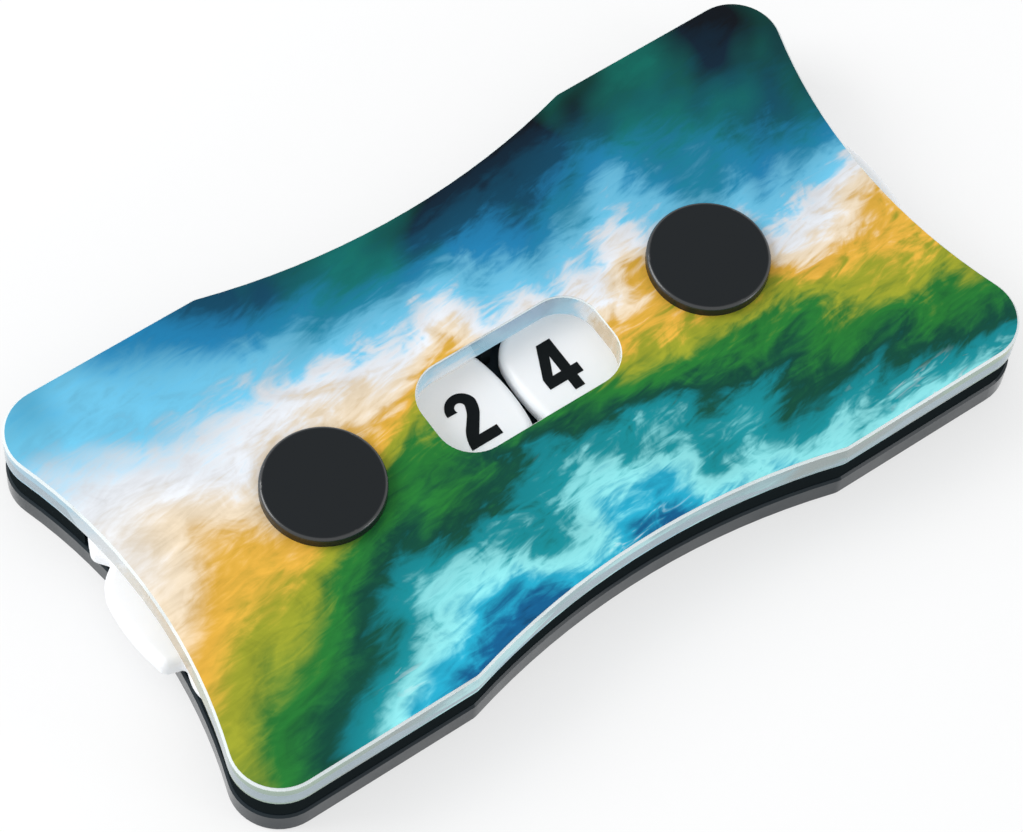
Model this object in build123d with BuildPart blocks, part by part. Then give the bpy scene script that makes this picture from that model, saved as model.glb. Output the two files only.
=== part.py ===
"""Two-dial life counter: a sandwich of acrylic layers around two numbered dials.

Sizes are in millimetres. X runs along the counter, Y towards its back and Z up.
The origin is the centre of the underside.
"""

from build123d import *
import os
from math import atan2, degrees, hypot, sqrt

# Dials: two equal discs side by side, with a notch between each pair of numerals
dial_spacing = 47.2
dial_gap = 0.6
notch_count = 10
notch_depth = 1.85
notch_steep_width = 1.25
notch_gentle_width = 2.7
notch_overshoot = 1.2
notch_root_radius = 0.5
steep_corner_radius = 1.0
gentle_corner_radius = 4.0
dial_edge_radius = 0.9
bore_bevel = 0.2

# Outline of the plates
rim_reach = 2.9
side_wall = 1.25
waist_share = 0.1233
kink_setback = 1.15
end_arc_radius = 59.2
corner_radius = 5.15
kink_radius = 2.0
edge_bevel = 0.25
under_bevel = 0.15

# Layers, from the table up
base_thickness = 3.0
tape_thickness = 0.1
spacer_thickness = 3.0
clear_thickness = 3.4
print_thickness = 0.1
spacer_inset = 0.3
tape_inset = 0.3
tape_width = 2.0
pocket_clearance = 0.3

# Window in the clear plate
window_length = 21.3
window_width = 10.9
window_corner_radius = 4.0
window_bevel = 0.12

# Posts with their caps, and the screws that close them from below
cap_diameter = 12.8
cap_height = 1.3
cap_edge_radius = 0.4
post_diameter = 5.0
post_clearance = 0.05
post_end_gap = 0.2
post_end_bevel = 0.3
cap_web = 1.9
screw_diameter = 3.0
screw_clearance = 0.05
screw_end_gap = 0.6
screw_end_bevel = 0.3
head_diameter = 9.0
head_height = 1.2
head_bevel = 0.25
head_clearance = 0.2
head_recess = 0.2
slot_width = 1.0
slot_depth = 0.6

# Bushes that the dials turn on, and washers above and below the dials
bush_wall = 1.45
bush_clearance = 0.05
washer_diameter = 13.0
washer_thickness = 0.15
dial_end_play = 0.05

# Numerals printed on the dials
digit_height = 6.3
digit_width = 3.75
pen_width = 1.18
ink_thickness = 0.05
left_digit_offset = 5.8
right_digit_offset = 4.95
left_step_count = 2
right_step_count = 4

# Heights that follow from the layers
spacer_bottom = base_thickness + tape_thickness
spacer_top = spacer_bottom + spacer_thickness
clear_bottom = spacer_top + tape_thickness
clear_top = clear_bottom + clear_thickness
print_top = clear_top + print_thickness
dial_bottom = base_thickness + washer_thickness + dial_end_play
dial_top = clear_bottom - washer_thickness - dial_end_play
recess_depth = head_height + head_recess

# Plan sizes that follow from the dials
axis_x = dial_spacing / 2
dial_radius = axis_x - dial_gap / 2
pocket_radius = dial_radius + pocket_clearance
end_waist_x = axis_x + dial_radius - rim_reach
half_width = pocket_radius + side_wall + spacer_inset
waist_depth = waist_share * half_width
kink_distance = axis_x - kink_setback
corner_x = end_waist_x + end_arc_radius - sqrt(end_arc_radius**2 - half_width**2)
pitch_angle = 360 / notch_count

# Radii that follow from the posts
post_hole_radius = post_diameter / 2 + post_clearance
bush_radius = post_hole_radius + bush_wall
dial_bore_radius = bush_radius + bush_clearance
screw_bore_radius = screw_diameter / 2 + screw_clearance

os.makedirs("parts", exist_ok=True)


def plate_profile(inset):
    """Bow-tie outline shared by the layers, drawn in all round by inset."""
    with BuildSketch() as profile:
        with BuildLine():
            waist_y = half_width - waist_depth
            back = ThreePointArc((-kink_distance, half_width), (0, waist_y), (kink_distance, half_width))
            flat = Line(back @ 1, (corner_x, half_width))
            end = ThreePointArc(flat @ 1, (end_waist_x, 0), (corner_x, -half_width))
            mirror(end, about=Plane.YZ)
            other_flat = mirror(flat, about=Plane.YZ)
            mirror([back, flat, other_flat], about=Plane.XZ)
        make_face()
        fillet(profile.vertices().sort_by(lambda vertex: abs(vertex.X))[-4:], corner_radius)
        fillet(profile.vertices().sort_by(lambda vertex: abs(vertex.X))[:4], kink_radius)
        if inset > 0:
            offset(amount=-inset)
    return profile.sketch


def spacer_profile(inset):
    """Plate outline less the two dial pockets and the strip between their cusps."""
    outline = plate_profile(spacer_inset + inset)
    with BuildSketch() as profile:
        add(outline)
        with Locations((-axis_x, 0), (axis_x, 0)):
            Circle(pocket_radius + inset, mode=Mode.SUBTRACT)
        Rectangle(2 * corner_x, window_width + 2 * inset, mode=Mode.SUBTRACT)
    return profile.sketch


def tape_profile():
    """Strip of adhesive along the spacers' outer edge."""
    with BuildSketch() as profile:
        add(tape_reach)
        add(tape_back, mode=Mode.SUBTRACT)
    return profile.sketch


def window_profile(margin):
    """Opening over the two numerals, widened all round by margin."""
    length = window_length + 2 * margin
    width = window_width + 2 * margin
    with BuildSketch() as profile:
        RectangleRounded(length, width, window_corner_radius + margin)
    return profile.sketch


def past_notch(vertex):
    """Angle of a vertex past the last notch axis, from 0 to the pitch."""
    return (degrees(atan2(vertex.Y, vertex.X)) - pitch_angle / 2) % pitch_angle


def dial_profile():
    """Disc with a saw-tooth notch between each pair of numerals."""
    run = notch_depth * notch_overshoot
    with BuildSketch() as profile:
        Circle(dial_radius)
        with PolarLocations(dial_radius - notch_depth, notch_count, start_angle=pitch_angle / 2):
            steep = (run, -notch_steep_width * notch_overshoot)
            gentle = (run, notch_gentle_width * notch_overshoot)
            Polygon((0, 0), steep, gentle, align=None, mode=Mode.SUBTRACT)
        roots = profile.vertices().sort_by(lambda vertex: hypot(vertex.X, vertex.Y))[:notch_count]
        fillet(roots, notch_root_radius)
        rim = profile.vertices().sort_by(lambda vertex: hypot(vertex.X, vertex.Y))[-2 * notch_count :]
        fillet(rim.filter_by(lambda vertex: past_notch(vertex) > pitch_angle / 2), steep_corner_radius)
        rim = profile.vertices().sort_by(lambda vertex: hypot(vertex.X, vertex.Y))[-2 * notch_count :]
        fillet(rim.filter_by(lambda vertex: past_notch(vertex) < pitch_angle / 2), gentle_corner_radius)
    return profile.sketch


def numeral(digit):
    """One digit in plain bold strokes, centred on its box; x and y run from -1 to 1 in the box."""
    half_box_x = digit_width / 2
    half_box_y = digit_height / 2
    bowl_radius = (digit_height + pen_width) / 4
    bowl_y = half_box_y - bowl_radius
    end_y = half_box_y - half_box_x

    def at(x, y):
        return (x * half_box_x, y * half_box_y)

    def shape(*points, mode=Mode.ADD):
        Polygon(*[at(x, y) for x, y in points], align=None, mode=mode)

    def ring(radius, y):
        with Locations((0, y)):
            Circle(radius)
            Circle(radius - pen_width, mode=Mode.SUBTRACT)

    def bar(width, x, y):
        with Locations(at(x, y)):
            Rectangle(width, pen_width)

    def stem(x):
        with Locations(at(x, 0)):
            Rectangle(pen_width, digit_height)

    with BuildSketch() as ink:
        match digit:
            case 0:
                SlotOverall(digit_height, digit_width, rotation=90)
                inside = 2 * pen_width
                SlotOverall(digit_height - inside, digit_width - inside, rotation=90, mode=Mode.SUBTRACT)
            case 1:
                stem(0.25)
                shape((0.25, 1), (-0.7, 0.72), (-0.7, 0.4), (0.25, 0.66))
            case 2:
                with BuildLine():
                    crown = ThreePointArc(at(-0.98, 0.41), at(0, 1), at(0.92, 0.5))
                    neck = ThreePointArc(crown @ 1, at(0.87, 0.33), at(0.65, 0.01))
                    Polyline(neck @ 1, at(-0.13, -0.63), at(1, -0.63), at(1, -1), at(-1, -1))
                    heel = ThreePointArc(at(-1, -1), at(-0.9, -0.66), at(-0.6, -0.28))
                    throat = ThreePointArc(at(-0.14, 0.06), at(0.08, 0.26), at(0.22, 0.49))
                    Line(heel @ 1, throat @ 0)
                    hollow = ThreePointArc(throat @ 1, at(-0.06, 0.67), at(-0.35, 0.4))
                    Line(hollow @ 1, crown @ 0)
                make_face()
            case 3:
                ring(bowl_radius, bowl_y)
                ring(bowl_radius, -bowl_y)
                shape((0, 0.4), (-2, 0.6), (-2, -0.6), (0, -0.4), mode=Mode.SUBTRACT)
                bar(half_box_x / 2, -0.2, 0)
            case 4:
                stem(0.37)
                bar(1.1 * digit_width, 0, -0.38)
                shape((-1.1, -0.38), (-1.1, -0.15), (-0.2, 1), (0.5, 1), (-0.5, -0.2), (-0.5, -0.38))
            case 5:
                ring(bowl_radius, -bowl_y)
                shape((0, -0.4), (-2, 0.6), (-2, -0.8), mode=Mode.SUBTRACT)
                bar(0.85 * digit_width, 0.08, 1 - pen_width / digit_height)
                shape((-0.77, 1), (-0.15, 1), (-0.33, -0.1), (-0.95, -0.1))
            case 6 | 9:
                SlotOverall(digit_height, digit_width, rotation=90)
                inside = 2 * pen_width
                SlotOverall(digit_height - inside, digit_width - inside, rotation=90, mode=Mode.SUBTRACT)
                shape((0, 0.45), (2, 0.55), (2, -0.4), (0, -0.4), mode=Mode.SUBTRACT)
                with Locations((0, -end_y)):
                    Circle(half_box_x)
                    Circle(half_box_x - pen_width, mode=Mode.SUBTRACT)
            case 7:
                bar(digit_width, 0, 1 - pen_width / digit_height)
                shape((0.2, 0.8), (1, 0.8), (1, 0.63), (0.1, -1), (-0.62, -1))
            case 8:
                ring(bowl_radius, bowl_y)
                ring(bowl_radius, -bowl_y)
    turn = 180 if digit == 9 else 0
    return ink.sketch.rotate(Axis.Z, turn)


# Outlines used more than once below
plate_outline = plate_profile(0)
spacer_outline = spacer_profile(0)
tape_reach = spacer_profile(tape_inset)
tape_back = plate_profile(spacer_inset + tape_inset + tape_width)
tape_outline = tape_profile()
film_outline = plate_profile(edge_bevel)
window_outline = window_profile(0)
film_window_outline = window_profile(window_bevel)
dial_outline = dial_profile()
digit_outlines = [numeral(digit) for digit in range(10)]

# Base plate: the screw heads lie in recesses in its underside
with BuildPart() as base_plate:
    with BuildSketch():
        add(plate_outline)
    extrude(amount=base_thickness)
    chamfer(base_plate.faces().sort_by(Axis.Z)[-1].edges(), edge_bevel)
    chamfer(base_plate.faces().sort_by(Axis.Z)[0].edges(), under_bevel)
    with BuildSketch():
        with Locations((-axis_x, 0), (axis_x, 0)):
            Circle(head_diameter / 2 + head_clearance)
    extrude(amount=recess_depth, mode=Mode.SUBTRACT)
    with Locations((-axis_x, 0, base_thickness), (axis_x, 0, base_thickness)):
        Hole(post_hole_radius)
base_plate.part.label = "base_plate"
export_step(base_plate.part, "parts/base_plate.step")

# Spacers: the middle layer, cut into a back and a front strip by the dial pockets
for side, keep in (("back", Keep.BOTTOM), ("front", Keep.TOP)):
    with BuildPart() as spacer:
        with BuildSketch(Plane.XY.offset(spacer_bottom)):
            add(spacer_outline)
        extrude(amount=spacer_thickness)
        split(bisect_by=Plane.XZ, keep=keep)
    spacer.part.label = f"{side}_spacer"
    export_step(spacer.part, f"parts/{side}_spacer.step")

    # Adhesive films that hold each spacer to the plates below and above it
    for level, height in (("lower", base_thickness), ("upper", spacer_top)):
        with BuildPart() as tape:
            with BuildSketch(Plane.XY.offset(height)):
                add(tape_outline)
            extrude(amount=tape_thickness)
            split(bisect_by=Plane.XZ, keep=keep)
        tape.part.label = f"{side}_{level}_tape"
        export_step(tape.part, f"parts/{side}_{level}_tape.step")

# Clear plate: window in the middle, and a hole for each post
with BuildPart() as clear_plate:
    with BuildSketch(Plane.XY.offset(clear_bottom)):
        add(plate_outline)
    extrude(amount=clear_thickness)
    chamfer(clear_plate.faces().sort_by(Axis.Z)[-1].edges(), edge_bevel)
    chamfer(clear_plate.faces().sort_by(Axis.Z)[0].edges(), under_bevel)
    with BuildSketch(Plane.XY.offset(clear_bottom)):
        add(window_outline)
    extrude(amount=clear_thickness, mode=Mode.SUBTRACT)
    chamfer(clear_plate.faces().sort_by(Axis.Z)[-1].inner_wires().edges(), window_bevel)
    with Locations((-axis_x, 0, clear_top), (axis_x, 0, clear_top)):
        Hole(post_hole_radius)
clear_plate.part.label = "clear_plate"
export_step(clear_plate.part, "parts/clear_plate.step")

# Printed film on top of the clear plate
with BuildPart() as printed_film:
    with BuildSketch(Plane.XY.offset(clear_top)):
        add(film_outline)
        add(film_window_outline, mode=Mode.SUBTRACT)
        with Locations((-axis_x, 0), (axis_x, 0)):
            Circle(post_hole_radius, mode=Mode.SUBTRACT)
    extrude(amount=print_thickness)
printed_film.part.label = "printed_film"
export_step(printed_film.part, "parts/printed_film.step")

for side, x, facing, offset_x, step_count in (
    ("left", -axis_x, 1, left_digit_offset, left_step_count),
    ("right", axis_x, -1, right_digit_offset, right_step_count),
):
    # Dial, with rounded edges and a bore that turns on the bush
    with BuildPart() as dial:
        with BuildSketch(Plane((x, 0, dial_bottom))):
            add(dial_outline)
        extrude(amount=dial_top - dial_bottom)
        flats = dial.faces().filter_by(Plane.XY)
        fillet(flats.edges(), dial_edge_radius)
        with Locations((x, 0, dial_top)):
            Hole(dial_bore_radius)
        chamfer(dial.edges(Select.LAST).filter_by(GeomType.CIRCLE), bore_bevel)
    dial.part.label = f"{side}_dial"
    export_step(dial.part, f"parts/{side}_dial.step")

    # Ring of numerals, the shown one upright in the window
    with BuildPart() as numerals:
        for place in range(notch_count):
            turn = (place - step_count) * pitch_angle
            with BuildSketch(Plane((x, 0, dial_top)).rotated((0, 0, turn))):
                with Locations((facing * (axis_x - offset_x), 0)):
                    add(digit_outlines[place % len(digit_outlines)])
        extrude(amount=ink_thickness)
    numerals.part.label = f"{side}_numerals"
    export_step(numerals.part, f"parts/{side}_numerals.step")

    # Bush that the plates clamp, so that the dial stays free
    with BuildPart() as bush:
        with BuildSketch(Plane((x, 0, base_thickness))):
            Circle(bush_radius)
            Circle(post_hole_radius, mode=Mode.SUBTRACT)
        extrude(amount=clear_bottom - base_thickness)
    bush.part.label = f"{side}_bush"
    export_step(bush.part, f"parts/{side}_bush.step")

    # Thin washers that the dial slides between
    for level, height in (("lower", base_thickness), ("upper", dial_top + dial_end_play)):
        with BuildPart() as washer:
            with BuildSketch(Plane((x, 0, height))):
                Circle(washer_diameter / 2)
                Circle(dial_bore_radius, mode=Mode.SUBTRACT)
            extrude(amount=washer_thickness)
        washer.part.label = f"{side}_{level}_washer"
        export_step(washer.part, f"parts/{side}_{level}_washer.step")

    # Post with its round cap, bored from below for the screw
    post_bottom = recess_depth + post_end_gap
    bore_top = print_top - cap_web
    with BuildPart() as post:
        with BuildSketch(Plane((x, 0, post_bottom))):
            Circle(post_diameter / 2)
        extrude(amount=print_top - post_bottom)
        chamfer(post.faces().sort_by(Axis.Z)[0].edges(), post_end_bevel)
        with BuildSketch(Plane((x, 0, print_top))):
            Circle(cap_diameter / 2)
        extrude(amount=cap_height)
        fillet(post.faces().sort_by(Axis.Z)[-1].edges(), cap_edge_radius)
        with BuildSketch(Plane((x, 0, post_bottom))):
            Circle(screw_bore_radius)
        extrude(amount=bore_top - post_bottom, mode=Mode.SUBTRACT)
    post.part.label = f"{side}_post"
    export_step(post.part, f"parts/{side}_post.step")

    # Slotted screw that closes the post from below
    with BuildPart() as screw:
        with BuildSketch(Plane((x, 0, head_recess))):
            Circle(head_diameter / 2)
        extrude(amount=head_height)
        chamfer(screw.faces().sort_by(Axis.Z)[0].edges(), head_bevel)
        with BuildSketch(Plane((x, 0, head_recess))):
            Rectangle(slot_width, head_diameter)
        extrude(amount=slot_depth, mode=Mode.SUBTRACT)
        with BuildSketch(Plane((x, 0, recess_depth))):
            Circle(screw_diameter / 2)
        extrude(amount=bore_top - screw_end_gap - recess_depth)
        chamfer(screw.faces().sort_by(Axis.Z)[-1].edges(), screw_end_bevel)
    screw.part.label = f"{side}_screw"
    export_step(screw.part, f"parts/{side}_screw.step")
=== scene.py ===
"""Looks of the two-dial life counter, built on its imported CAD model.

X runs along the counter, Y towards its back and Z up. Lengths are in metres, angles in radians.
"""

import math

import bpy
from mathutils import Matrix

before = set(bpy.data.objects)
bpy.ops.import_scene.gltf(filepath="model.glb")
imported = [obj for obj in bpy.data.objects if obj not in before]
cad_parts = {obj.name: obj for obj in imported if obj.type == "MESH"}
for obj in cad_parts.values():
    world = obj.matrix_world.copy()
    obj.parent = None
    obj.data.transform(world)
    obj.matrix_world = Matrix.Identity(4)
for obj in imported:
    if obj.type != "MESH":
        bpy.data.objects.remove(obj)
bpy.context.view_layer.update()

bl_info = {
    "name": "Life Counter Looks",
    "version": (1, 0, 0),
    "blender": (4, 5, 0),
    "location": "View3D > Sidebar > Life Counter",
    "description": "Materials, stage and camera for a two-dial life counter",
    "category": "Object",
}

SIDES = ("left", "right")
SPACERS = ("back", "front")
WHITE = (1.0, 1.0, 1.0)

# Colours of the print's bands, from the front edge to the back, each with its place from 0 to 1
BANDS = (
    (0.00, "#0c284c"),
    (0.07, "#126498"),
    (0.14, "#27b3d6"),
    (0.20, "#93ecf1"),
    (0.25, "#16919c"),
    (0.31, "#0e4d3e"),
    (0.39, "#277e36"),
    (0.46, "#a3a931"),
    (0.51, "#edb846"),
    (0.56, "#f7e4c7"),
    (0.61, "#edf1f7"),
    (0.67, "#71c8ec"),
    (0.75, "#2182b4"),
    (0.83, "#0e4762"),
    (0.92, "#0a2436"),
    (1.00, "#060e17"),
)
# Place among the bands that the haze fades to, between white and pale blue
HAZE_PLACE = 0.63
# Foam lies on the strongest strokes, in patches, and only over the front bands up to the first green
FOAM_STROKES = (0.6, 0.7)
FOAM_PATCHES = (0.5, 0.62)
FOAM_BANDS = (0.3, 0.22)
# Emerald lies in the same patches over the blue and dark bands at the back
EMERALD_PATCHES = (0.45, 0.62)
EMERALD_BANDS = (0.66, 0.8)
# Shade is drawn mostly by the wisps and for the rest by the strokes, over this span of their mix
SHADE_FROM_WISPS = 0.7
SHADE_SPAN = (0.35, 0.65)

# A noise pattern hardly leaves the first span, and wear shows over the second
NOISE_SPAN = (0.3, 0.7)
WEAR_SPAN = (0.35, 0.7)
# Roughness of each finish, from its glossiest spot to its dullest
ROUGHNESS = {
    "clear": (0.0, 0.012),
    "base": (0.3, 0.45),
    "laser cut": (0.45, 0.65),
    "dial": (0.3, 0.42),
    "post": (0.34, 0.46),
    "screw": (0.28, 0.5),
}
# Brightness of a cloudy colour's second tone, as a multiple of the first
TONES = {"film": 0.8, "ink": 1.5, "nylon": 0.9, "floor": 0.985}

# The rise of a face is how far it looks up: 1 on top, 0 on a wall and -1 underneath.
# Beyond this rise, up or down, a face is a top or an underside
FACING = 0.5
# The bevels stand at 45 degrees
BEVEL_RISE = math.sqrt(0.5)
BEVEL_LEEWAY = 0.2
# Over this span of rise a wall turns into a flat face
WALL_RISE = (0.8, 0.9)
# Over these spans a cap's rounded edge turns into its top and into its wall
EDGE_TOP_RISE = (0.93, 1.0)
EDGE_WALL_RISE = (0.0, 0.4)

# Nearest distance that the camera sees
CLIP_START = 0.01
# Sockets of the mix node for colours, which share their names with those for other data
MIX_FIRST = 6
MIX_SECOND = 7
MIX_RESULT = 2


def linear(hex_code):
    """Turn an sRGB colour such as "#12ab9f" into the linear values that Blender works in."""
    channels = [int(hex_code[i : i + 2], 16) / 255 for i in (1, 3, 5)]
    return tuple(c / 12.92 if c <= 0.04045 else ((c + 0.055) / 1.055) ** 2.4 for c in channels)


def add_node(tree, kind, inputs=(), **settings):
    """Add a shader node. inputs fills its sockets in order, or by name or index where it is a dict.

    Each input is a value, a colour without alpha, or another node's socket.
    """
    node = tree.nodes.new("ShaderNode" + kind)
    for name, value in settings.items():
        setattr(node, name, value)
    for place, value in inputs.items() if isinstance(inputs, dict) else enumerate(inputs):
        socket = node.inputs[place]
        if isinstance(value, bpy.types.NodeSocket):
            tree.links.new(value, socket)
        elif socket.type == "RGBA":
            socket.default_value = (*value, 1.0)
        else:
            socket.default_value = value
    return node


def new_material(name, **surface):
    """Start a material. Words in surface, such as Base_Color, set the shader's sockets."""
    material = bpy.data.materials.new(name)
    material.use_nodes = True
    tree = material.node_tree
    shader = tree.nodes["Principled BSDF"]
    for socket, value in surface.items():
        shader.inputs[socket.replace("_", " ")].default_value = value
    return material, tree, shader


def position(tree, period, turn=0.0, stretch=1.0):
    """Place on the piece, counted in periods, turned about Z and drawn out along X by stretch."""
    place = add_node(tree, "TexCoord").outputs["Object"]
    turned = add_node(tree, "VectorRotate", {"Vector": place, "Angle": -turn}, rotation_type="Z_AXIS")
    scale = (1 / (period * stretch), 1 / period, 1 / period)
    return add_node(tree, "VectorMath", (turned.outputs[0], scale), operation="MULTIPLY").outputs[0]


def pattern(tree, size, turn=0.0, stretch=1.0, **inputs):
    """Smooth random pattern from 0 to 1, with spots of about the given size on the piece."""
    place = position(tree, size, turn, stretch)
    return add_node(tree, "TexNoise", {"Vector": place, "Scale": 1.0, **inputs}).outputs["Fac"]


def rise(tree, normal="True Normal"):
    """Rise of the surface, from its true normal or its smoothed one."""
    direction = add_node(tree, "NewGeometry").outputs[normal]
    return add_node(tree, "SeparateXYZ", (direction,)).outputs["Z"]


def add_up(tree, start, *terms):
    """Add to start each pair of socket and weight."""
    for socket, weight in terms:
        start = add_node(tree, "Math", (socket, weight, start), operation="MULTIPLY_ADD").outputs[0]
    return start


def overlap(tree, full, *spans):
    """Mask that grows up to full as each value in spans runs from its first end to its second."""
    for value, first, second in spans:
        full = add_node(tree, "MapRange", (value, first, second, 0.0, full)).outputs[0]
    return full


def lay_over(tree, ground, *coats):
    """Lay coats over a colour. Each is a pair of its mask and its own colour."""
    for mask, coat in coats:
        inputs = {"Factor": mask, MIX_FIRST: ground, MIX_SECOND: coat}
        ground = add_node(tree, "Mix", inputs, data_type="RGBA").outputs[MIX_RESULT]
    return ground


def toned(tint, kind):
    """The second tone of a cloudy colour."""
    return tuple(TONES[kind] * channel for channel in tint)


def roughen(tree, shader, finish, gloss, relief, depth, strength):
    """Vary the roughness within the span of the finish by one pattern, and raise it by another."""
    roughness = add_node(tree, "MapRange", (gloss, *NOISE_SPAN, *ROUGHNESS[finish]))
    tree.links.new(roughness.outputs[0], shader.inputs["Roughness"])
    raised = add_node(tree, "Bump", {"Height": relief, "Distance": depth, "Strength": strength})
    tree.links.new(raised.outputs["Normal"], shader.inputs["Normal"])


def let_glow(tree, shader, mask, light, strength):
    """Mix a glow over the surface where mask is 1."""
    glow = add_node(tree, "Emission", (light, strength))
    both = add_node(tree, "MixShader", (mask, shader.outputs[0], glow.outputs[0]))
    tree.links.new(both.outputs[0], tree.nodes["Material Output"].inputs["Surface"])


def dress(material, *names):
    """Give the CAD nodes their material."""
    for name in names:
        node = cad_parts[name]
        node.data.materials.clear()
        node.data.materials.append(material)


def lift(name, height):
    """Move a film up or down a hair, so that it sits in the clear plate as glue or ink grips it."""
    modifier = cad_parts[name].modifiers.new("Contact", "DISPLACE")
    modifier.direction = "Z"
    modifier.mid_level = 0.0
    modifier.strength = height


def length(name, description, default):
    """Property in metres, shown to a thousandth of a millimetre."""
    return bpy.props.FloatProperty(
        name=name, description=description, default=default, unit="LENGTH", precision=6
    )


def share(name, description, default):
    """Property from 0 to 1."""
    return bpy.props.FloatProperty(
        name=name, description=description, default=default, min=0.0, max=1.0, subtype="FACTOR"
    )


def amount(name, description, default, least=0.0, unit="NONE"):
    """Property that is any number from least up."""
    return bpy.props.FloatProperty(
        name=name, description=description, default=default, min=least, unit=unit
    )


def colour(name, description, hex_code):
    """Colour property, its default given in sRGB."""
    return bpy.props.FloatVectorProperty(
        name=name, description=description, default=linear(hex_code), size=3, min=0.0, max=1.0,
        subtype="COLOR",
    )


def point(name, description, default):
    """Place in metres."""
    return bpy.props.FloatVectorProperty(
        name=name, description=description, default=default, size=3, subtype="TRANSLATION", unit="LENGTH"
    )


def angle(name, description, degrees):
    """Angle property, its default given in degrees."""
    return bpy.props.FloatProperty(
        name=name, description=description, default=math.radians(degrees), unit="ROTATION",
        subtype="ANGLE",
    )


class LifeCounterPrint(bpy.types.PropertyGroup):
    """Printed picture on the clear plate."""

    band_reach: length("Band Reach", "Distance over which the bands run through all colours", 0.058)
    band_turn: angle("Band Turn", "Direction of the bands", -8)
    swirl_size: length("Swirl Size", "Size of the large swirls", 0.024)
    swirl_reach: length("Swirl Reach", "How far the large swirls push the bands", 0.030)
    wisp_size: length("Wisp Size", "Size of the small wisps", 0.0042)
    wisp_reach: length("Wisp Reach", "How far the small wisps push the bands", 0.0085)
    stroke_size: length("Stroke Size", "Width of the brush strokes", 0.0011)
    stroke_reach: length("Stroke Reach", "How far the brush strokes push the bands", 0.0045)
    patch_size: length("Patch Size", "Size of the patches of foam and emerald", 0.013)
    foam: colour("Foam", "Colour of the pale strokes over the front bands", "#f2f8f9")
    foam_share: share("Foam Share", "How far the pale strokes hide the bands", 0.5)
    emerald: colour("Emerald", "Colour of the patches over the back bands", "#107e6e")
    emerald_share: share("Emerald Share", "How far the emerald patches hide the bands", 0.6)
    haze_start: length("Haze Start", "Where the pale haze over the left end begins", -0.010)
    haze_full: length("Haze Full", "Where the pale haze is thickest", -0.042)
    haze: share("Haze", "How far the haze hides the bands", 0.68)
    shade: share("Shade", "Brightness of the darkest strokes", 0.74)
    roughness: share("Roughness", "Roughness of the cured ink", 0.42)
    # The next three settings shape only the painted glow on the print's underside: the colour it is paled
    # towards, how far, and how strongly it glows
    ground: colour("Ground", "Colour of the white ink under the picture", "#f2f7fb")
    ground_share: share("Ground Share", "How far the white ink pales the picture's underside", 0.35)
    soak: share("Soak", "Share of the daylight that soaks through the ink", 0.85)


class LifeCounterPlates(bpy.types.PropertyGroup):
    """Acrylic layers and the films between them."""

    clear_tint: colour("Clear Tint", "Tint of the clear sheet", "#f4fbfb")
    clear_haze_size: length("Clear Haze Size", "Size of the clear sheet's faint smears", 0.004)
    refraction: amount("Refraction", "Refractive index of acrylic", 1.49, least=1.0)
    frost: share("Frost", "Roughness of the bevel", 0.3)
    scatter: share("Scatter", "Share of the light that the bevel scatters", 0.72)
    black: colour("Black", "Colour of the black sheet", "#19242a")
    smear_size: length("Smear Size", "Size of the smears on the black sheet", 0.006)
    polish: share("Polish", "Share of the gloss that the base plate's wall has", 0.7)
    cut_black: colour("Cut Black", "Colour of the black sheet's laser cut wall", "#1a2022")
    # Real laser marks are about a pixel apart in the render, so they are drawn coarser to show
    mark_size: length("Mark Size", "Spacing of the fine marks that the laser leaves on a cut edge", 0.0004)
    mark_depth: length("Mark Depth", "Depth of the marks on a polished edge", 0.000002)
    cut_mark_depth: length("Cut Mark Depth", "Depth of the marks on an edge left as cut", 0.00001)
    # The film colour is painted light: pale slate, so that the clear plate's wall looks light over the black
    # sheet
    film: colour("Film", "Colour of the adhesive over the black sheet", "#c6d9e6")
    film_cloud_size: length("Film Cloud Size", "Size of the clouds in the adhesive", 0.003)
    # The next two settings set a painted glow on the films' tops, standing in for daylight soaked in through
    # the plate
    film_soak: share("Film Soak", "Share of the adhesive's light that has soaked through the plate", 0.8)
    film_level: share("Film Level", "Strength of the daylight that has soaked through the plate", 0.64)
    contact: length("Contact", "How deep films sit in the clear plate", 0.00002)


class LifeCounterDials(bpy.types.PropertyGroup):
    """Dials and their numerals."""

    white: colour("White", "Colour of the dials", "#fafcff")
    worn_white: colour("Worn White", "Colour of the dials where they are handled", "#f3f7fb")
    wear_size: length("Wear Size", "Size of the handled patches", 0.007)
    # Real tumbled grain is finer than a pixel in the render, so it is drawn coarser to show
    grain_size: length("Grain Size", "Size of the satin grain", 0.0003)
    grain_depth: length("Grain Depth", "Depth of the satin grain", 0.000002)
    ink: colour("Ink", "Colour of the numerals", "#0f1315")
    mottle_size: length("Mottle Size", "Size of the mottle in the ink", 0.0006)


class LifeCounterHardware(bpy.types.PropertyGroup):
    """Posts, screws, bushes and washers."""

    cap: colour("Cap", "Colour of the posts", "#191d20")
    wall_gloss: share("Wall Gloss", "Share of the edge's gloss that the cap's wall has", 0.2)
    # Real moulded grain is finer than a pixel in the render, so it is drawn coarser to show
    grain_size: length("Grain Size", "Size of the moulded grain", 0.00025)
    grain_depth: length("Grain Depth", "Depth of the moulded grain", 0.000003)
    steel: colour("Steel", "Colour of the blackened screws", "#2a2c30")
    oxide_size: length("Oxide Size", "Size of the patches in the blackening", 0.0008)
    oxide_depth: length("Oxide Depth", "Depth of the patches in the blackening", 0.000004)
    nylon: colour("Nylon", "Colour of bushes and washers", "#e4e0d4")
    nylon_cloud_size: length("Nylon Cloud Size", "Size of the clouds in the nylon", 0.002)


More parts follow.
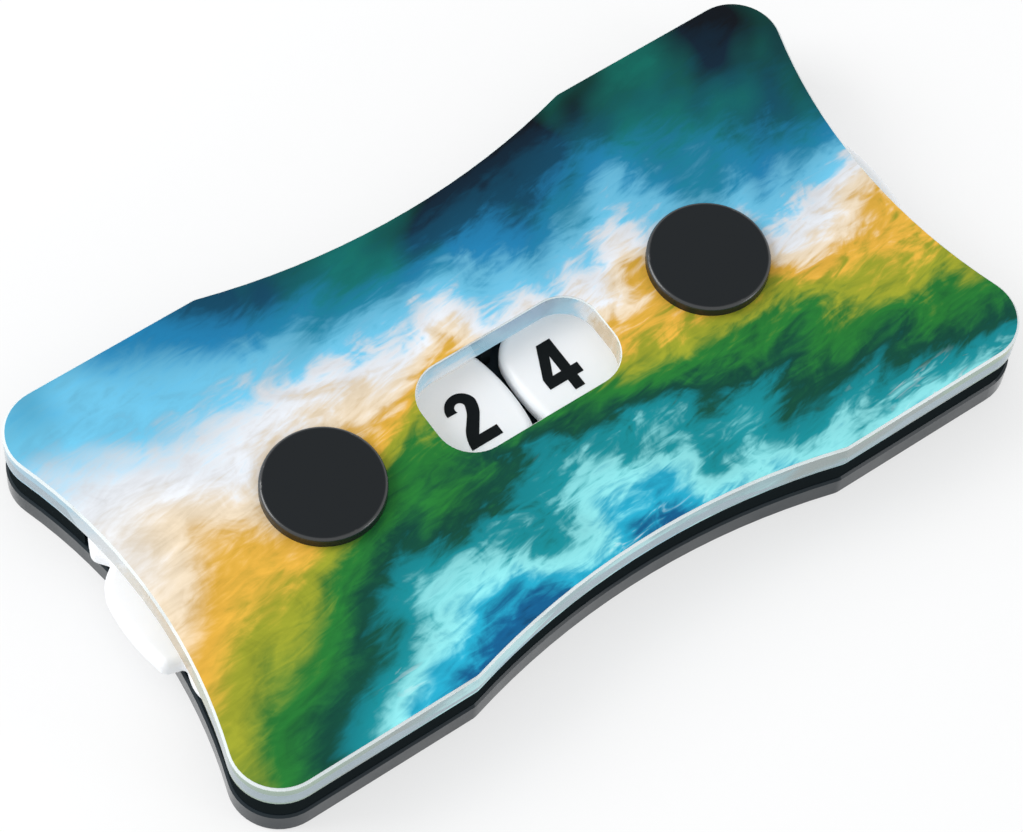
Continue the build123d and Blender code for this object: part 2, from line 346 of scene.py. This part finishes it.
class LifeCounterStage(bpy.types.PropertyGroup):
    """Floor, light and camera."""

    floor: colour("Floor", "Colour of the floor", "#f6f7f8")
    floor_glow: share("Floor Glow", "Share of white that the floor shows by itself", 0.6)
    fibre_size: length("Fibre Size", "Size of the fibre clouds in the floor's paper", 0.002)
    floor_size: length("Floor Size", "Width of the floor", 3.0)
    floor_gap: length("Floor Gap", "Gap that keeps the floor clear of the base", 0.00002)
    light_level: amount("Light Level", "Strength of the light from all round", 0.78)
    key_power: amount("Key Power", "Power of the large soft light", 3.8, unit="POWER")
    key_size: length("Key Size", "Width of the large soft light", 0.5)
    key_place: point("Key Place", "Place of the large soft light", (-0.52, 0.45, 0.5))
    rim_power: amount("Rim Power", "Power of the small light for the bevels", 1.1, unit="POWER")
    rim_size: length("Rim Size", "Width of the small light", 0.28)
    rim_place: point("Rim Place", "Place of the small light", (0.50, -0.82, 0.265))
    focal_length: amount("Focal Length", "Focal length of the lens", 137.65, least=1.0, unit="CAMERA")
    eye: point("Eye", "Place of the camera", (-0.12676, -0.14433, 0.35075))
    tilt: angle("Tilt", "Turn of the camera about X", 28.581)
    roll: angle("Roll", "Turn of the camera about Y", -3.259)
    heading: angle("Heading", "Turn of the camera about Z", -35.260)


class LIFE_COUNTER_OT_print(bpy.types.Operator):
    """Print the top with flowing bands of colour"""

    bl_idname = "life_counter.print"
    bl_label = "Print"

    def execute(self, context):
        settings = context.scene.life_counter_print
        # Cured ink on clear film: satin and richly coloured
        material, tree, shader = new_material(
            "cured ink print", Specular_IOR_Level=0.08, Roughness=settings.roughness
        )
        wisps = pattern(
            tree, settings.wisp_size, turn=0.2, stretch=1.8, Detail=5.0, Roughness=0.55, Distortion=1.6
        )
        strokes = pattern(tree, settings.stroke_size, turn=0.12, stretch=4.0, Distortion=1.5)
        flow = self.make_flow(tree, settings, wisps, strokes)
        picture = self.add_patches(tree, settings, flow, strokes)
        picture = self.add_shade(tree, settings, picture, wisps, strokes)
        tree.links.new(picture, shader.inputs["Base Color"])
        # Seen from inside the plate, the underside shows painted light: a glow in the picture's colour, paled
        # towards the white ground colour, stands in for the daylight that soaks through the ink
        under = add_node(tree, "Math", (rise(tree), -FACING), operation="LESS_THAN").outputs[0]
        painted_glow_colour = lay_over(tree, picture, (settings.ground_share, settings.ground))
        let_glow(tree, shader, under, painted_glow_colour, settings.soak)
        dress(material, "printed_film")
        lift("printed_film", -context.scene.life_counter_plates.contact)
        return {"FINISHED"}

    def make_flow(self, tree, settings, wisps, strokes):
        """Place among the bands, pushed about by noise and faded towards the haze at the left end."""
        swirls = pattern(tree, settings.swirl_size, turn=0.35, stretch=1.5, Distortion=0.9)
        place = position(tree, settings.band_reach, settings.band_turn)
        across = add_node(tree, "SeparateXYZ", (place,)).outputs
        reaches = (settings.swirl_reach, settings.wisp_reach, settings.stroke_reach)
        pushes = [reach / settings.band_reach for reach in reaches]
        flow = add_up(tree, across["Y"], *zip((swirls, wisps, strokes), pushes))
        # The middle of the noise, a half, leaves the middle of the bands on the middle of the counter
        middle = 0.5 - 0.5 * sum(pushes)
        flow = add_node(tree, "Math", (flow, middle), operation="ADD").outputs[0]
        haze_span = [place / settings.band_reach for place in (settings.haze_full, settings.haze_start)]
        haze = add_node(tree, "MapRange", (across["X"], *haze_span, settings.haze, 0.0)).outputs[0]
        return add_node(tree, "Mix", {"Factor": haze, "A": flow, "B": HAZE_PLACE}).outputs[0]

    def add_patches(self, tree, settings, flow, strokes):
        """Colour the bands, with pale foam over the front ones and emerald over the back ones."""
        bands = add_node(tree, "ValToRGB", (flow,))
        bands.color_ramp.interpolation = "EASE"
        stops = bands.color_ramp.elements
        while len(stops) < len(BANDS):
            stops.new(0.5)
        for stop, (place, hex_code) in zip(stops, BANDS):
            stop.position = place
            stop.color = (*linear(hex_code), 1.0)
        patches = pattern(tree, settings.patch_size, turn=0.9, stretch=1.6)
        foam = overlap(
            tree, settings.foam_share, (strokes, *FOAM_STROKES), (patches, *FOAM_PATCHES), (flow, *FOAM_BANDS)
        )
        emerald = overlap(
            tree, settings.emerald_share, (flow, *EMERALD_BANDS), (patches, *EMERALD_PATCHES)
        )
        coats = (foam, settings.foam), (emerald, settings.emerald)
        return lay_over(tree, bands.outputs["Color"], *coats)

    def add_shade(self, tree, settings, picture, wisps, strokes):
        """Darken the picture along its strokes."""
        marks = add_up(tree, 0.0, (wisps, SHADE_FROM_WISPS), (strokes, 1.0 - SHADE_FROM_WISPS))
        shade = add_node(tree, "MapRange", (marks, *SHADE_SPAN, settings.shade, 1.0)).outputs[0]
        grey = add_node(tree, "CombineColor", (shade, shade, shade)).outputs[0]
        inputs = {"Factor": 1.0, MIX_FIRST: picture, MIX_SECOND: grey}
        shaded = add_node(tree, "Mix", inputs, data_type="RGBA", blend_type="MULTIPLY")
        return shaded.outputs[MIX_RESULT]


class LIFE_COUNTER_OT_clear_plate(bpy.types.Operator):
    """Make the top plate of clear cast acrylic"""

    bl_idname = "life_counter.clear_plate"
    bl_label = "Clear Plate"

    def execute(self, context):
        settings = context.scene.life_counter_plates
        # Cast acrylic with polished walls that bend the light, and a bevel left frosted, a pale line
        material, tree, shader = new_material(
            "cast acrylic polished edge", Base_Color=(*settings.clear_tint, 1.0),
            IOR=settings.refraction,
        )
        slope = (rise(tree), BEVEL_RISE, BEVEL_LEEWAY)
        bevel = add_node(tree, "Math", slope, operation="COMPARE").outputs[0]
        smears = pattern(tree, settings.clear_haze_size)
        haze = add_node(tree, "MapRange", (smears, *NOISE_SPAN, *ROUGHNESS["clear"])).outputs[0]
        tree.links.new(add_up(tree, haze, (bevel, settings.frost)), shader.inputs["Roughness"])
        clear = add_up(tree, 1.0, (bevel, -settings.scatter))
        tree.links.new(clear, shader.inputs["Transmission Weight"])
        dress(material, "clear_plate")
        return {"FINISHED"}


class LIFE_COUNTER_OT_black_layers(bpy.types.Operator):
    """Make the base plate and the spacers of black acrylic"""

    bl_idname = "life_counter.black_layers"
    bl_label = "Black Layers"

    def execute(self, context):
        settings = context.scene.life_counter_plates
        # Cast black acrylic: its polished wall mirrors the floor faintly, its face is dull from handling
        base, tree, shader = new_material(
            "cast acrylic black gloss", Base_Color=(*settings.black, 1.0), Specular_IOR_Level=0.1,
            Coat_IOR=1.25, Coat_Roughness=0.12,
        )
        smears = pattern(tree, settings.smear_size, Detail=3.0)
        marks = pattern(tree, settings.mark_size, Detail=1.0)
        roughen(tree, shader, "base", smears, marks, settings.mark_depth, strength=0.4)
        flatness = add_node(tree, "Math", (rise(tree),), operation="ABSOLUTE").outputs[0]
        polish = add_node(tree, "MapRange", (flatness, *WALL_RISE, settings.polish, 0.0)).outputs[0]
        tree.links.new(polish, shader.inputs["Coat Weight"])
        dress(base, "base_plate")
        # The same sheet as the laser leaves it: nearly black, with no mirror image
        cut, tree, shader = new_material(
            "cast acrylic black laser cut", Base_Color=(*settings.cut_black, 1.0), Specular_IOR_Level=0.0
        )
        marks = pattern(tree, settings.mark_size)
        roughen(tree, shader, "laser cut", marks, marks, settings.cut_mark_depth, strength=0.5)
        dress(cut, *(f"{side}_spacer" for side in SPACERS))
        return {"FINISHED"}


class LIFE_COUNTER_OT_films(bpy.types.Operator):
    """Make the adhesive films between the layers"""

    bl_idname = "life_counter.films"
    bl_label = "Adhesive Films"

    def execute(self, context):
        settings = context.scene.life_counter_plates
        # Clear adhesive that has wetted the sheets on both sides: slightly cloudy, with no gloss. Its pale
        # slate colour is painted light, standing in for the light seen through the clear plate's wall
        material, tree, shader = new_material(
            "adhesive film over black", Roughness=0.9, Specular_IOR_Level=0.0
        )
        cloud = pattern(tree, settings.film_cloud_size, Detail=3.0)
        cloudy = lay_over(tree, toned(settings.film, "film"), (cloud, settings.film))
        tree.links.new(cloudy, shader.inputs["Base Color"])
        # Under the clear plate its tops get a painted glow, standing in for the daylight that soaks in all
        # round
        top = add_node(tree, "Math", (rise(tree), FACING), operation="GREATER_THAN").outputs[0]
        painted_glow = add_up(tree, 0.0, (top, settings.film_soak))
        let_glow(tree, shader, painted_glow, cloudy, settings.film_level)
        for side in SPACERS:
            dress(material, f"{side}_lower_tape", f"{side}_upper_tape")
            lift(f"{side}_upper_tape", settings.contact)
        return {"FINISHED"}


class LIFE_COUNTER_OT_dials(bpy.types.Operator):
    """Make both dials of white acrylic"""

    bl_idname = "life_counter.dials"
    bl_label = "Dials"

    def execute(self, context):
        settings = context.scene.life_counter_dials
        # Opal white acrylic, tumbled: satin, and light spreads a little inside its rounded edges
        material, tree, shader = new_material(
            "opal acrylic tumbled", Subsurface_Weight=0.15, Subsurface_Radius=(0.0012, 0.0011, 0.001),
            Subsurface_Scale=1.0,
        )
        patches = pattern(tree, settings.wear_size, Detail=3.0)
        wear = overlap(tree, 1.0, (patches, *WEAR_SPAN))
        white = lay_over(tree, settings.white, (wear, settings.worn_white))
        tree.links.new(white, shader.inputs["Base Color"])
        grain = pattern(tree, settings.grain_size)
        roughen(tree, shader, "dial", grain, grain, settings.grain_depth, strength=0.4)
        dress(material, *(f"{side}_dial" for side in SIDES))
        return {"FINISHED"}


class LIFE_COUNTER_OT_numerals(bpy.types.Operator):
    """Ink the numerals on both dials"""

    bl_idname = "life_counter.numerals"
    bl_label = "Numerals"

    def execute(self, context):
        settings = context.scene.life_counter_dials
        # Pad-printed ink: flat black with a faint mottle
        material, tree, shader = new_material("pad printed ink", Specular_IOR_Level=0.05, Roughness=0.5)
        mottle = pattern(tree, settings.mottle_size)
        mottled = lay_over(tree, settings.ink, (mottle, toned(settings.ink, "ink")))
        tree.links.new(mottled, shader.inputs["Base Color"])
        dress(material, *(f"{side}_numerals" for side in SIDES))
        return {"FINISHED"}


class LIFE_COUNTER_OT_posts(bpy.types.Operator):
    """Make both capped posts of black nylon"""

    bl_idname = "life_counter.posts"
    bl_label = "Posts"

    def execute(self, context):
        settings = context.scene.life_counter_hardware
        # Moulded black nylon: fine-grained and matt on its faces, with a soft light on the worn rounded edge
        material, tree, shader = new_material(
            "moulded nylon black", Base_Color=(*settings.cap, 1.0), Specular_IOR_Level=0.13,
            Coat_IOR=1.6, Coat_Roughness=0.25,
        )
        grain = pattern(tree, settings.grain_size)
        roughen(tree, shader, "post", grain, grain, settings.grain_depth, strength=0.5)
        smooth_rise = rise(tree, "Normal")
        wall = add_node(tree, "MapRange", (smooth_rise, *EDGE_WALL_RISE, settings.wall_gloss, 1.0))
        edge = add_node(tree, "MapRange", (smooth_rise, *EDGE_TOP_RISE, wall.outputs[0], 0.0))
        tree.links.new(edge.outputs[0], shader.inputs["Coat Weight"])
        dress(material, *(f"{side}_post" for side in SIDES))
        return {"FINISHED"}


class LIFE_COUNTER_OT_fixings(bpy.types.Operator):
    """Make the screws of blackened steel, and the bushes and washers of nylon"""

    bl_idname = "life_counter.fixings"
    bl_label = "Fixings"

    def execute(self, context):
        settings = context.scene.life_counter_hardware
        # Blackened steel, turned: dark metal with patches of differing gloss
        steel, tree, shader = new_material(
            "blackened steel turned", Base_Color=(*settings.steel, 1.0), Metallic=0.85
        )
        oxide = pattern(tree, settings.oxide_size, Detail=3.0)
        roughen(tree, shader, "screw", oxide, oxide, settings.oxide_depth, strength=0.5)
        dress(steel, *(f"{side}_screw" for side in SIDES))
        # Natural nylon: milky and warm, waxy rather than glossy
        nylon, tree, shader = new_material("natural nylon", Roughness=0.45, Subsurface_Weight=0.1)
        cloud = pattern(tree, settings.nylon_cloud_size)
        cloudy = lay_over(tree, toned(settings.nylon, "nylon"), (cloud, settings.nylon))
        tree.links.new(cloudy, shader.inputs["Base Color"])
        for side in SIDES:
            dress(nylon, f"{side}_bush", f"{side}_lower_washer", f"{side}_upper_washer")
        return {"FINISHED"}


class LIFE_COUNTER_OT_stage(bpy.types.Operator):
    """Set up the floor, the lights and the camera"""

    bl_idname = "life_counter.stage"
    bl_label = "Stage"

    def execute(self, context):
        settings = context.scene.life_counter_stage
        self.make_floor(context, settings)
        self.make_light(context, settings)
        self.make_camera(context, settings)
        context.scene.view_settings.view_transform = "Standard"
        return {"FINISHED"}

    def make_floor(self, context, settings):
        """Lay a square of paper under the counter."""
        half = settings.floor_size / 2
        corners = [(-half, -half, 0), (half, -half, 0), (half, half, 0), (-half, half, 0)]
        mesh = bpy.data.meshes.new("floor")
        mesh.from_pydata(corners, [], [(0, 1, 2, 3)])
        floor = bpy.data.objects.new("floor", mesh)
        floor.location.z = -settings.floor_gap
        context.collection.objects.link(floor)
        # Matt photo paper: even and nearly white
        material, tree, shader = new_material("matt paper", Roughness=0.9, Specular_IOR_Level=0.1)
        fibre = pattern(tree, settings.fibre_size, Detail=3.0)
        paper = lay_over(tree, toned(settings.floor, "floor"), (fibre, settings.floor))
        tree.links.new(paper, shader.inputs["Base Color"])
        # Lit from below for the eye alone, so that the shadow stays light
        let_glow(tree, shader, add_up(tree, 0.0, (self.seen(tree), settings.floor_glow)), WHITE, 1.0)
        mesh.materials.append(material)

    def seen(self, tree):
        """1 where the eye looks, straight or in a gloss or through the clear plate."""
        path = add_node(tree, "LightPath").outputs
        looked_at = path["Is Camera Ray"]
        for way in ("Is Glossy Ray", "Is Transmission Ray"):
            looked_at = add_node(tree, "Math", (looked_at, path[way]), operation="MAXIMUM").outputs[0]
        return looked_at

    def make_light(self, context, settings):
        """Light the counter from all round and by two lamps, in front of a white backdrop."""
        world = bpy.data.worlds.new("studio")
        context.scene.world = world
        world.use_nodes = True
        tree = world.node_tree
        tree.nodes.clear()
        light = add_node(tree, "Background", (WHITE, settings.light_level))
        backdrop = add_node(tree, "Background", (WHITE, 1.0))
        both = (self.seen(tree), light.outputs[0], backdrop.outputs[0])
        chosen = add_node(tree, "MixShader", both)
        add_node(tree, "OutputWorld", {"Surface": chosen.outputs[0]})
        self.make_lamp(context, "key", settings.key_power, settings.key_size, settings.key_place)
        self.make_lamp(context, "rim", settings.rim_power, settings.rim_size, settings.rim_place)

    def make_lamp(self, context, name, power, size, place):
        """Hang a square lamp that shines on the counter."""
        data = bpy.data.lights.new(name, "AREA")
        data.energy = power
        data.size = size
        lamp = bpy.data.objects.new(name, data)
        # What lies in or behind the clear plate is lit from all round alone, which keeps it free of grain
        lamp.visible_transmission = False
        lamp.location = place
        lamp.rotation_euler = (-lamp.location).to_track_quat("-Z", "Y").to_euler()
        context.collection.objects.link(lamp)

    def make_camera(self, context, settings):
        """Set the camera above the front left corner, as in the photo."""
        data = bpy.data.cameras.new("camera")
        data.lens = settings.focal_length
        data.clip_start = CLIP_START
        camera = bpy.data.objects.new("camera", data)
        camera.location = settings.eye
        camera.rotation_euler = (settings.tilt, settings.roll, settings.heading)
        context.collection.objects.link(camera)
        context.scene.camera = camera


class LIFE_COUNTER_PT_looks(bpy.types.Panel):
    """Settings and steps of the life counter's looks"""

    bl_label = "Life Counter"
    bl_idname = "LIFE_COUNTER_PT_looks"
    bl_space_type = "VIEW_3D"
    bl_region_type = "UI"
    bl_category = "Life Counter"

    def draw(self, context):
        for name in GROUPS:
            box = self.layout.box()
            settings = getattr(context.scene, name)
            for prop in settings.bl_rna.properties:
                if prop.identifier in settings.__annotations__:
                    box.prop(settings, prop.identifier)
        for operator in OPERATORS:
            self.layout.operator(operator.bl_idname)


GROUPS = {
    "life_counter_print": LifeCounterPrint,
    "life_counter_plates": LifeCounterPlates,
    "life_counter_dials": LifeCounterDials,
    "life_counter_hardware": LifeCounterHardware,
    "life_counter_stage": LifeCounterStage,
}
OPERATORS = (
    LIFE_COUNTER_OT_print,
    LIFE_COUNTER_OT_clear_plate,
    LIFE_COUNTER_OT_black_layers,
    LIFE_COUNTER_OT_films,
    LIFE_COUNTER_OT_dials,
    LIFE_COUNTER_OT_numerals,
    LIFE_COUNTER_OT_posts,
    LIFE_COUNTER_OT_fixings,
    LIFE_COUNTER_OT_stage,
)


def register():
    """Add the classes to Blender, and the settings to each scene."""
    for cls in (*GROUPS.values(), *OPERATORS, LIFE_COUNTER_PT_looks):
        bpy.utils.register_class(cls)
    for name, group in GROUPS.items():
        setattr(bpy.types.Scene, name, bpy.props.PointerProperty(type=group))


def unregister():
    """Take away what register added."""
    for name in GROUPS:
        delattr(bpy.types.Scene, name)
    for cls in (LIFE_COUNTER_PT_looks, *reversed(OPERATORS), *reversed(GROUPS.values())):
        bpy.utils.unregister_class(cls)


def main():
    """Dress the counter, step by step."""
    register()
    bpy.ops.life_counter.print()
    bpy.ops.life_counter.clear_plate()
    bpy.ops.life_counter.black_layers()
    bpy.ops.life_counter.films()
    bpy.ops.life_counter.dials()
    bpy.ops.life_counter.numerals()
    bpy.ops.life_counter.posts()
    bpy.ops.life_counter.fixings()
    bpy.ops.life_counter.stage()


if __name__ == "__main__":
    main()
